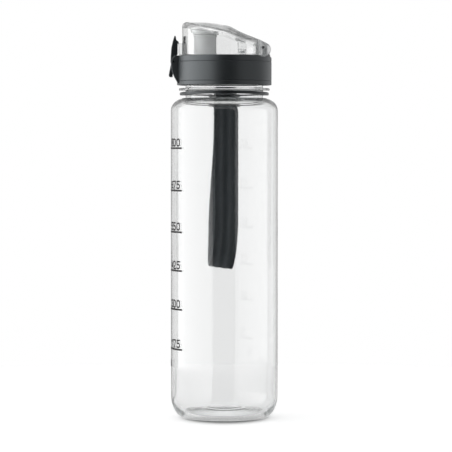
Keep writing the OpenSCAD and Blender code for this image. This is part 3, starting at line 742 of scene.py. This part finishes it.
def ring_field(x, y, z):
    """A rounded rectangle carried round the neck, thinner behind, two arms and the bar across them."""
    rho = np.hypot(x, y)
    foot = -RING_H / 2 + 0.8 * ease((y + 2) / 24)
    hoop = common(slab(rho, RING_RI, RING_RI + RING_W), slab(z, foot, RING_H / 2), 0.6)
    arm = common(slab(np.abs(x), ARM_X, ARM_X + ARM_W), slab(y, 26, BAR_REACH + BAR_R), 0.5)
    arm = common(arm, slab(z, -RING_H / 2, RING_H / 2), 0.5)
    arm = common(arm, RING_RI + 0.7 - rho, 0)
    bar = common(np.hypot(y - BAR_REACH, z) - BAR_R, np.abs(x) - ARM_X - ARM_W, 0.3)
    return joined(joined(hoop, arm, 0.9), bar, 0.4)


def tilted(part):
    """Leans a part made about the ring's own plane: low at the strap, high at the front."""
    p, faces = part
    c, s = np.cos(-RING_TILT), np.sin(-RING_TILT)
    y, z = p[:, 1] * c - p[:, 2] * s, p[:, 1] * s + p[:, 2] * c
    return stacked(p[:, 0], y, z + RING_Z), faces


add_piece("neck_ring", [tilted(skin(ring_field, (-33.6, -33.6, -2.2), (33.6, 46.2, 2.2), 0.42))],
          BLACK_RING, "ring", "black_rubber", "strap_ring")

# %% [markdown]
# The webbing is a profile carried along a path: down the inner run, round the fold, up the outer run
# and over the bar. The outer run stands off and leans to the left as it drops, and the whole fold sways
# a little to the left and dips on its right, as in the photograph.
# The profile is a flat band with round edges and broad lengthwise ribs, and the UV map counts
# millimetres along and across it, so that the weave has its true size.

# %% Carry strap
STRAP_W, STRAP_T, STRAP_DROP, STRAP_X = 18.5, 2.2, 128.2, 0.75
INNER_Y, EYE_R, LOOP_R, LOOP_OPEN, LOOP_LEAN, FOLD_H = BAR_Y - 3.0, 3.0, 1.7, 6.0, 5.0, 13.0
BAR_Z = RING_Z - BAR_Y * np.tan(RING_TILT)


def lean_share(z):
    """How much of the lean has been reached at a height: 0 near the bar, 1 low down."""
    return ease(((BAR_Z - z) / STRAP_DROP - 0.15) / 0.65)


def run_apart(z):
    """Distance of the outer run behind the inner run, at a height."""
    return 2 * LOOP_R + 2 * (EYE_R - LOOP_R) * (1 - ease((BAR_Z - z) / 14)) + LOOP_OPEN * lean_share(z)


def strap_path():
    """Rows of distance behind the inner run, height and slope angle, round the whole loop."""
    turn_z = BAR_Z - STRAP_DROP + STRAP_T / 2 + FOLD_H
    half = run_apart(turn_z) / 2
    down = np.linspace(BAR_Z, turn_z, 60)
    a = np.linspace(0, np.pi, 33)[1:-1]
    up = down[::-1]
    return np.concatenate([
        stacked(0.0, down, -np.pi / 2),
        stacked(half * (1 - np.cos(a)), turn_z - FOLD_H * np.sin(a),
                np.arctan2(-FOLD_H * np.cos(a), half * np.sin(a))),
        stacked(run_apart(up), up, np.pi / 2),
        stacked(EYE_R * (1 + np.cos(a)), BAR_Z + EYE_R * np.sin(a), np.pi / 2 + a)])


def strap_section():
    """(across, thick) rows round the band: two faces with ribs and two round edges."""
    u = np.linspace(-1, 1, 61)
    edge = STRAP_T / 2
    flat = (STRAP_W / 2 - edge) * u
    rib = edge * (0.84 + 0.16 * np.cos(2 * np.pi * (flat - RIB_AT) / RIB_PITCH)) * (1 - 0.10 * u ** 8)
    a = np.linspace(-np.pi / 2, np.pi / 2, 9)[1:-1]
    side = STRAP_W / 2 - edge + edge * np.cos(a)
    return np.concatenate([
        stacked(flat, -rib),
        stacked(side, edge * 0.8 * np.sin(a)),
        stacked(flat[::-1], rib[::-1]),
        stacked(-side, -edge * 0.8 * np.sin(a))])


def carry_strap():
    """The section swept along the path, with its lean, twist and sway; also the distance along the loop."""
    path, section = strap_path(), strap_section()
    b, z, slope = (path[:, k][:, None] for k in range(3))
    behind = np.minimum(1, b / run_apart(z)) * lean_share(z)
    twist = -np.arcsin(min(0.9, LOOP_OPEN / STRAP_W)) * behind
    across, thick = section[None, :, 0], section[None, :, 1]
    sway = np.clip((145 - z) / 35, 0, 1.2) ** 2
    free = ease((BAR_Z - z) / 12)
    x = STRAP_X + 0.6 * free - LOOP_LEAN * behind - 3.2 * sway * (1 - 0.75 * behind)
    x = x + across * np.cos(twist) * (1 + 0.02 * free)
    y = INNER_Y + b + thick * np.sin(slope) + across * np.sin(twist)
    points = stacked(x, y, z - thick * np.cos(slope) - 0.12 * across * sway)
    step = np.linalg.norm(np.diff(path[:, :2], axis=0, append=path[:1, :2]), axis=1)
    print(f"strap: {step.sum():.0f} mm of webbing round the loop, {STRAP_W:.1f} mm wide")
    return points, np.concatenate([[0], np.cumsum(step)])


def add_strap_uv(mesh, shape, along):
    """Writes the UV map strap_mm: distance along the loop and place across the band, in millimetres."""
    nu, nv = shape
    corner = np.zeros(len(mesh.loops), np.int32)
    mesh.loops.foreach_get("vertex_index", corner)
    u = (corner // nv).reshape(-1, 4)
    u = np.where((u == 0) & (u.max(1, keepdims=True) == nu - 1), nu, u).ravel()
    layer = mesh.uv_layers.new(name="strap_mm")
    across = strap_section()[corner % nv, 0]
    layer.data.foreach_set("uv", stacked(along[u], across).astype(np.float32).ravel())


strap_points, strap_along = carry_strap()
strap = add_piece("webbing_loop", [grid(strap_points, True, True)],
                  WEBBING, "strap", "webbing", "carry_strap")
add_strap_uv(strap.data, strap_points.shape[:2], strap_along)

# %% [markdown]
# ## The cap
# The shell is a dark collar with two fine lines turned into it. Beside the hinge its top dips under
# the lid's round end, and its rim is chamfered there. All of that is a limit on the height of a
# turned profile, so one grid holds it. The two ears for the latch are plates on its left side.


# %% Cap shell
def trough(x):
    """Underside of the lid's swing about its pin: the cap stays below it."""
    away = np.abs(x - PIN_X)
    return np.where(away > TROUGH_R, np.inf, PIN_Z - np.sqrt(np.maximum(TROUGH_R ** 2 - away ** 2, 0)))


def shell_top(x, y):
    """Highest point of the shell at a place in plan: the deck, the trough or the chamfer."""
    chamfer = 2 * ease((np.abs(y) - KNUCKLE_Y + 0.3) / 0.6) + CAP_R + DECK_Z - 1.63 - x
    return np.minimum(np.minimum(DECK_Z, trough(x)), chamfer)


def shell_lift(x, y, z):
    """Presses everything above the upper groove under shell_top, in proportion."""
    base = DECK_Z - 3.2
    share = np.clip((z - base) / (DECK_Z - base), 0, 1)
    return np.where(z > base, base + share * (shell_top(x, y) - base), z)


def cap_shell():
    """The collar's section, with its two fine lines g deep, turned and then pressed under shell_top."""
    ri, z0, z1, g = 32.5, SHELL_Z, DECK_Z, 0.3
    corners = [(ri, z1), (ri, z0), (CAP_R, z0), (CAP_R, z0 + 2.8), (CAP_R - g, z0 + 3.1), (CAP_R, z0 + 3.4),
               (CAP_R, z1 - 4.7), (CAP_R - g, z1 - 4.4), (CAP_R, z1 - 4.1), (CAP_R, z1 - 3), (CAP_R, z1)]
    radii = [0.4, 0.4, 0.7, 0.1, 0.1, 0.1, 0.1, 0.1, 0.1, 0, 0.8]
    return turned(rounded(corners, radii, 5, True), 288, lift=shell_lift, closed=True)


EAR = [(-32.65, DECK_Z), (-36.1, DECK_Z), (-38.26, 263.1), (-38.8, 259.3), (-38.26, 253.9), (-36.7, 249.8),
       (-34.0, 245.1), (-32.65, 245.1)]
EAR_IN, EAR_OUT = 7.3, 9.8


def ear_field(x, y, z):
    """Two plates with the same outline, and the seat of the spring between them."""
    plate = common(outline_field(x, z, EAR), slab(np.abs(y), EAR_IN, EAR_OUT), 0.45)
    seat = common(np.hypot(y, z - SPRING_Z) - 2.3, slab(x, -34.9, -33.6), 0.15)
    return joined(plate, seat)


add_piece("cap_collar", [cap_shell(), skin(ear_field, (-39.6, -10.6, 244.2), (-31.8, 10.6, 266.2), 0.4)],
          DARK_SHELL, "cap", "dark_shell", "cap_shell")

# %% [markdown]
# Inside the collar is the core: a threaded skirt that grips the neck and a deck that carries the
# spout, the vent and the hinge lug. The skirt is a turned grid with its thread pressed inwards. The
# deck has holes and lugs, so it is a field.


# %% Cap core
def core_skirt():
    """The skirt's section turned, with the ridge of the thread taken off the bore's radius."""
    bore, outer, z0, z1 = 30.2, 32.4, 244.6, 264.2
    inside = straight((bore, z1), (bore, z0 + 0.5), 84)
    rest = rounded([(bore, z0 + 0.5), (bore, z0), (outer, z0), (outer, z1)], [0, 0.4, 0.5, 0], 3)[1:]
    profile = np.concatenate([inside, rest])
    a = angles(240)[:, None]
    r, z = profile[None, :, 0], profile[None, :, 1]
    on_bore = (r < bore + 0.01) & (z > z0 + 0.4)
    r = r - THREAD_RISE * ridge_rise(a, z, THREAD_Z - THREAD_PITCH / 2) * on_bore
    x = r * np.cos(a)
    z = np.where(z > 262, np.minimum(z, trough(x) - 0.3), z)
    return grid(stacked(x, r * np.sin(a), z), True, True)


LUG = [(25.0, 263.4), (25.0, 271.2), (31.4, 271.2), (31.4, 266.7), (32.7, 266.7), (33.9, 265.5),
       (31.8, 265.5), (31.8, 263.4)]


def deck_field(x, y, z):
    """Deck with its trough, the spout with its lip, the vent boss and the lug, less their bores."""
    deck = drum(x, y, z, (0, 0), 32.4, (263.0, DECK_Z), 0.4)
    deck = common(deck, TROUGH_R - np.hypot(x - PIN_X, z - PIN_Z), 0.25)
    rho = np.hypot(x - SPOUT_X, y)
    tube = common(rho - SPOUT_R, slab(z, 264, 281.0), 0.7)
    lip = common(rho - SPOUT_R - 0.5, slab(z, 279.2, 280.7), 0.5)
    out = joined(deck, joined(tube, lip, 0.3), 0.9)
    out = joined(out, drum(x, y, z, (VENT_X, 0), 2.5, (264, 265.7), 0.1), 0.3)
    lug = joined(outline_field(x, z, LUG), np.hypot(x - PIN_X, z - PIN_Z) - 3.2, 0.3)
    out = joined(out, common(lug, np.abs(y) - LUG_Y, 0.35), 0.25)
    out = common(out, 6.5 - rho, 0.5)
    return common(out, 1.5 - np.hypot(x - VENT_X, y), 0.1)


add_piece("cap_middle", [core_skirt(), skin(deck_field, (-33.4, -33.4, 262.2), (35.0, 33.4, 281.8), 0.5)],
          PALE_CORE, "cap", "pale_core", "cap_core")

# %% [markdown]
# ## The clear lid
# The lid is a thick clear moulding: a round wall under a crowned top with a crease, a slope down to
# the hinge, two knuckles round the pin, a catch at the front, a post over the vent and a holder for
# the spout's seal. Every edge is rounded by a known radius, and clear plastic shows them all as
# light and dark lines, so the field is measured finely.

# %% Flip lid
LID_R, LID_WALL, LID_Z, CROWN_R = 30.8, 2.2, 265.7, 90.0
ARCH, CREASE = (-9.4, 289.746), (3.7, 287.2)
FRONT_FALL, ARCH_FALL, REAR_FALL = 0.8 * DEGREE, 11.0 * DEGREE, 24.6 * DEGREE
NOSE_X, NOSE_Z, NOSE_R, LID_END_R = 27.56, 269.28, 6.37, 6.4


def crown(x, y, z, place, fall, inset):
    """Below a long cylinder that lies along the lid, passes a place (x, z) and falls towards the hinge."""
    up = (x - place[0]) * np.sin(fall) + (z - place[1]) * np.cos(fall)
    return np.hypot(y, up + CROWN_R) - CROWN_R + inset


def lid_top(x, y, z, inset, r):
    """Three crowns meet: nearly level, falling to the crease, and the slightly hollow rear slope."""
    front = common(crown(x, y, z, ARCH, FRONT_FALL, inset), crown(x, y, z, CREASE, ARCH_FALL, inset), 1.4)
    slope = crown(x, y, z, CREASE, REAR_FALL, inset) + 0.6 * np.exp(-((x - 13) / 6) ** 2)
    return common(front, slope, r)


def lid_nose(x, z):
    """The rear slope runs on into an arc round the nose."""
    along = (x - NOSE_X) * np.cos(REAR_FALL) - (z - NOSE_Z) * np.sin(REAR_FALL)
    above = (x - NOSE_X) * np.sin(REAR_FALL) + (z - NOSE_Z) * np.cos(REAR_FALL)
    return np.where(along < 0, above, np.hypot(along, above)) - NOSE_R


def lid_field(x, y, z):
    """The outer shape less the room inside, with the vent's post, the seal's holder and the catch joined
    on, less the post's socket, the slot for the lug and the pin's bore."""
    rho = np.hypot(x, y)
    top = lid_top(x, y, z, 0, 0.6)
    body = common(rho - LID_R, top, 3.2)
    tail = common(common(np.abs(y) - KNUCKLE_Y, -x, 0.3), top, 0.8)
    outer = joined(body, tail, 0.8)
    outer = common(outer, LID_Z - z, 0.3)
    outer = common(outer, lid_nose(x, z), 0.3)
    outer = common(outer, np.where(x < PIN_X, -1.5, np.hypot(x - PIN_X, z - PIN_Z) - LID_END_R), 0.3)
    room = common(rho - LID_R + LID_WALL, lid_top(x, y, z, LID_WALL, 0.4), 2.4)
    room = common(room, x - 22.4, 0.6)
    walls = common(outer, -room, 0.3)
    inner = common(rho - LID_R + 1.1, lid_top(x, y, z, 1.1, 0.1), 0.1)
    post = common(common(np.hypot(x - VENT_X, y) - 3.2, 266.95 - z, 0.15), inner, 0.1)
    seat = np.hypot(x - SPOUT_X, y)
    holder = common(common(seat - 10.75, 282.3 - z, 0.25), inner, 0.1)
    holder = common(holder, -common(seat - 9.55, z - 284.6, 0.1), 0.15)
    out = joined(joined(walls, post, 0.7), holder, 0.5)
    catch = block(x, y, z, (-33.85, -29.3), (-5.5, 5.5), (272.2, 274.2), 0.35)
    catch = joined(catch, block(x, y, z, (-33.4, -29.3), (-5.5, 5.5), (266.1, 273.2), 0.35), 0.4)
    out = joined(out, common(catch, -(rho - LID_R + 1.1), 0), 0.3)
    out = common(out, -common(np.hypot(x - VENT_X, y) - 2.0, z - 270.2, 0.3), 0.15)
    out = common(out, -common(np.abs(y) - LUG_Y - 0.3, 24.2 - x, 0.3), 0.3)
    return common(out, 1.25 - np.hypot(x - PIN_X, z - PIN_Z), 0.1)


add_piece("clear_flip_lid", [skin(lid_field, (-34.8, -32.0, 264.8), (35.4, 32.0, 291.6), 0.52)],
          CLEAR_LID, "lid", "clear_lid", "flip_lid", sharp=40)

# %% [markdown]
# ## Seals and plug
# Three silicone pieces do the sealing: a flat ring on the neck's rim, a disc with a short plug over
# the spout, and a small plug in the lid's post over the vent. All are turned, with soft edges.


# %% Silicone pieces
seal_ring = rounded([(25.32, 261.3), (29.15, 261.3), (29.15, 262.9), (25.32, 262.9)], 0.45, 4, True)
add_piece("rim_seal", [turned(seal_ring, 192, closed=True)], SILICONE, "seal", "silicone", "neck_seal")

disc = rounded([(0.3, 279.1), (5.3, 279.1), (5.8, 279.6), (5.8, 281.1), (9.4, 281.1), (9.4, 284.5),
                (0.3, 284.5)], [0, 0.3, 0.3, 0.3, 0.5, 0.5, 0], 4)
add_piece("spout_disc", [turned(disc, 96, (SPOUT_X, 0), poles=(True, True))],
          SILICONE, "lid", "silicone", "spout_seal")

plug = rounded([(0.2, 265.8), (3.3, 265.8), (3.3, 266.9), (1.9, 266.9), (1.9, 269.1), (0.2, 269.1)],
               [0, 0.35, 0.35, 0.2, 0.3, 0], 4)
add_piece("vent_stopper", [turned(plug, 64, (VENT_X, 0), poles=(True, True))],
          SILICONE, "lid", "silicone", "vent_plug")

# %% [markdown]
# ## Latch, pins and spring
# The lever is an extruded side view with a finger end below its pivot and a hook above. Its outline
# comes from the silhouette in the photograph, and a field rounds its edges and cuts the pocket for
# the spring and the bore for the pin.

# %% Latch lever
LEVER = [(-0.65, 18.7), (-0.3, 18.7), (0.25, 14.96), (0.8, 9.91), (1.05, 2.24), (0.95, -1.82), (1.7, -9.92),
         (1.6, -10.94), (1.33, -11.4), (0.45, -11.4), (0.4, -9.12), (-0.1, -3.99), (-0.6, 0), (-1, 2.99),
         (-1, 4.9), (-1.33, 5.4), (-1.33, 13.3), (-1.78, 13.3), (-1.78, 13.78), (-1.65, 14.5),
         (-1.15, 15.34), (-0.9, 15.7)]
LEVER_T = 2.1
LEVER_XZ = [(PIVOT_X - u * LEVER_T, PIVOT_Z + v) for u, v in LEVER]


def lever_field(x, y, z):
    """The outline and the boss round the pin, extruded across the lever, less its bore and pocket."""
    side = joined(outline_field(x, z, LEVER_XZ), np.hypot(x - PIVOT_X, z - PIVOT_Z) - LEVER_T, 0.6)
    body = common(side, np.abs(y) - LEVER_Y, 0.5)
    pocket = common(np.hypot(y, z - SPRING_Z) - 2.0, -38.41 - x, 0.1)
    body = common(body, -pocket, 0.15)
    return common(body, 1.05 - np.hypot(x - PIVOT_X, z - PIVOT_Z), 0.05)


add_piece("latch_finger", [skin(lever_field, (-41.2, -7.8, 249.0), (-32.2, 7.8, 280.5), 0.33)],
          DARK_LEVER, "latch", "dark_latch", "latch_lever", sharp=40)

# %% [markdown]
# Pins are cut stock with broken edges, turned and laid across. The spring is a wire along a helix.


# %% Pins and spring
def pin_part(radius, half, chamfer, x, z):
    """A pin turned about its own length, then laid along Y at (x, z)."""
    profile = rounded([(0.1, -half), (radius - chamfer, -half), (radius, -half + chamfer),
                       (radius, half - chamfer), (radius - chamfer, half), (0.1, half)], 0.1, 3)
    return across_y(turned(profile, 48, poles=(True, True)), x, z)


add_piece("hinge_rod", [pin_part(1.2, KNUCKLE_Y - 0.15, 0.3, PIN_X, PIN_Z)],
          STEEL, "cap", "steel", "lid_hinge_pin")
add_piece("latch_rod", [pin_part(1.0, EAR_OUT, 0.25, PIVOT_X, PIVOT_Z)], STEEL, "cap", "steel", "latch_pin")


def spring_wire():
    """A round wire whose centre goes round the X axis while it moves along it: four turns."""
    turns, coil, wire, start, length = 4, 1.4, 0.2, -38.11, 2.91
    t = np.linspace(0, 1, 161)[None, :]
    a = 2 * np.pi * turns * t
    b = angles(10)[:, None]
    r = coil + wire * np.sin(b)
    x = start + length * t + wire * np.cos(b)
    return grid(stacked(x, r * np.cos(a), SPRING_Z + r * np.sin(a)), poles=(True, True))


spring = add_piece("latch_coil", [spring_wire()], STEEL, "cap", "steel", "latch_spring")
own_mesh(spring)

# %% [markdown]
# ## Studio
# A white sweep behind, one large softbox on the left, a weak one on the right, and nothing bright
# behind the camera: that is what makes the collar glow on the left and stay black in the middle.
# The boxes are painted into the world by direction, so they light and reflect alike from any view.
# What the camera sees directly, or straight through clear plastic, is plain white. Dark cards stand at
# the sides of the sweep: light turned back inside a wall shows them, and they draw the clear edges.


# %% Light by bearing
def by_bearing(tree, way):
    """Strengths of the softboxes and of the sweep behind. The bearing is 0 at the camera and positive to
    its right."""
    def step(source, *values):
        return remap(tree, source, *values, DEGREE, "SMOOTHSTEP")

    angle = maths(tree, "ARCTAN2", way["X"], times(tree, way["Y"], -1.0))
    away = maths(tree, "ABSOLUTE", angle)
    left = times(tree, step(angle, -124, -116, 0, 1), step(angle, -105, -30, 2.15, 1.12),
                 step(angle, -26.3, -24.0, 1, 0))
    right = times(tree, step(angle, 29, 33, 0, 0.36), step(angle, 102, 110, 1, 1.7),
                  step(angle, 124, 132, 1, 0))
    behind = times(tree, step(away, 156, 162, 0.75, 0.35), step(away, 170, 177, 1.0, 2.86),
                   step(away, 124, 130, 0, 1))
    return plus(tree, left, right), behind


# %% World
def world_light():
    """The boxes end above and below, the sweep behind dims above, and the ceiling is bright. Camera rays
    see white, and rays straight through clear plastic see white that dims above."""
    world = bpy.data.worlds.new("studio")
    bpy.context.scene.world = world
    world.use_nodes = True
    tree = world.node_tree
    tree.nodes.clear()
    way = split(tree, node(tree, "ShaderNodeTexCoord").outputs["Generated"])
    up = maths(tree, "ARCSINE", way["Z"])

    def step(*values):
        return remap(tree, up, *values, DEGREE, "SMOOTHSTEP")

    boxes, behind = by_bearing(tree, way)
    boxes = times(tree, boxes, times(tree, step(-60, -48, 0, 1), step(48, 60, 1, 0)))
    behind = times(tree, behind, step(8, 22, 1, 0.52))
    total = plus(tree, boxes, behind, step(42, 70, 0, 0.9), 0.02)
    path = node(tree, "ShaderNodeLightPath").outputs
    direct = maths(tree, "LESS_THAN", path["Glossy Depth"], 0.5)
    through = times(tree, path["Is Transmission Ray"], direct)
    clear_view = number_between(tree, through, total, step(20, 40, 1.0, 0.5))
    strength = number_between(tree, path["Is Camera Ray"], clear_view, 1.0)
    light = node(tree, "ShaderNodeBackground", {"Color": (1, 1, 1, 1), "Strength": strength})
    node(tree, "ShaderNodeOutputWorld", {"Surface": light.outputs[0]})


world_light()

# %% [markdown]
# The floor is matt. To the camera, in reflections and through clear plastic it is lifted to white by a
# glow, and the rest of its brightness is light that falls on it, so the bottle's shadow stays. In
# reflections and through clear plastic the glow is stronger under and round the foot: a painted pool of
# light that lightens the base.
# In front of the foot a faint shade is painted on, for the camera only: it stands for the contact
# shadow that the clear wall, which lets the lamps' rays pass, would otherwise lose. For light turned
# back inside a wall, the floor beyond the foot is painted darker at the bearings where the world's dark
# cards stand: a painted reflection of them, so the bottle's side lines run down to the foot.


# %% Floor
FLOOR_R, FLOOR_DROP = 480, 0.02


def pale_floor():
    """A round sheet just under the foot. Distances from the bottle's axis shape its glow."""
    a = angles(64)
    rim = stacked(FLOOR_R * np.cos(a), FLOOR_R * np.sin(a), -FLOOR_DROP)
    floor = put_mesh("floor", [grid(rim[:, None, :], poles=(True, False))])
    made, tree, shader, out = blank_material("floor paper", {})
    tree.nodes.remove(shader)
    where = on_piece(tree)
    tone = colour_between(tree, noise(tree, where, 400, 2.0), (0.60, 0.60, 0.60), (0.64, 0.64, 0.64))
    matt = node(tree, "ShaderNodeBsdfDiffuse", {"Color": tone})
    path = node(tree, "ShaderNodeLightPath").outputs
    camera_ray = path["Is Camera Ray"]

    def ramp(source, *values):
        return remap(tree, source, *values, MM, "SMOOTHSTEP")

    def length(vector):
        return node(tree, "ShaderNodeVectorMath", {0: vector}, operation="LENGTH").outputs["Value"]

    reach = length(where)
    place = split(tree, where)
    wide = node(tree, "ShaderNodeVectorMath", {0: where, 1: (1.6, 1.0, 1.0)}, operation="MULTIPLY").outputs[0]
    contact = times(tree, ramp(length(wide), 30, 62, 1, 0), ramp(place["Y"], -24, -9, 1, 0), camera_ray)
    # Painted pool of light: in reflections and through clear plastic the glow is stronger under and round the
    # foot, which lightens the base.
    under = plus(tree, ramp(reach, 31, 44, 0.50, 0.225), ramp(reach, 300, 470, 0.0, 0.05))
    lift = number_between(tree, contact, number_between(tree, camera_ray, under, 0.34), 0.0)
    paper = colour_between(tree, contact, (0.95, 0.95, 0.95), (0.34, 0.34, 0.34))
    share = node(tree, "ShaderNodeBsdfDiffuse", {"Color": paper})
    glow = node(tree, "ShaderNodeEmission", {"Color": (1, 1, 1, 1), "Strength": lift})
    shown = node(tree, "ShaderNodeAddShader", {0: share.outputs[0], 1: glow.outputs[0]})
    # Painted reflection: for rays turned back inside a wall, the floor beyond the foot is darkened at the
    # bearings of the world's dark cards.
    card = maths(tree, "MINIMUM", plus(tree, *by_bearing(tree, place)), 1.0)
    turned_back = maths(tree, "GREATER_THAN", path["Glossy Depth"], 0.5)
    far = times(tree, turned_back, ramp(reach, 45, 110, 0, 1))
    shown_with_painted_cards = node(tree, "ShaderNodeMixShader", {0: number_between(tree, far, 1.0, card), 2: shown.outputs[0]})
    clear = maths(tree, "MAXIMUM", path["Is Glossy Ray"], path["Is Transmission Ray"])
    seen = maths(tree, "MAXIMUM", camera_ray, clear)
    mix = node(tree, "ShaderNodeMixShader", {0: seen, 1: matt.outputs[0], 2: shown_with_painted_cards.outputs[0]})
    tree.links.new(mix.outputs[0], out.inputs["Surface"])
    floor.data.materials.append(made)


pale_floor()
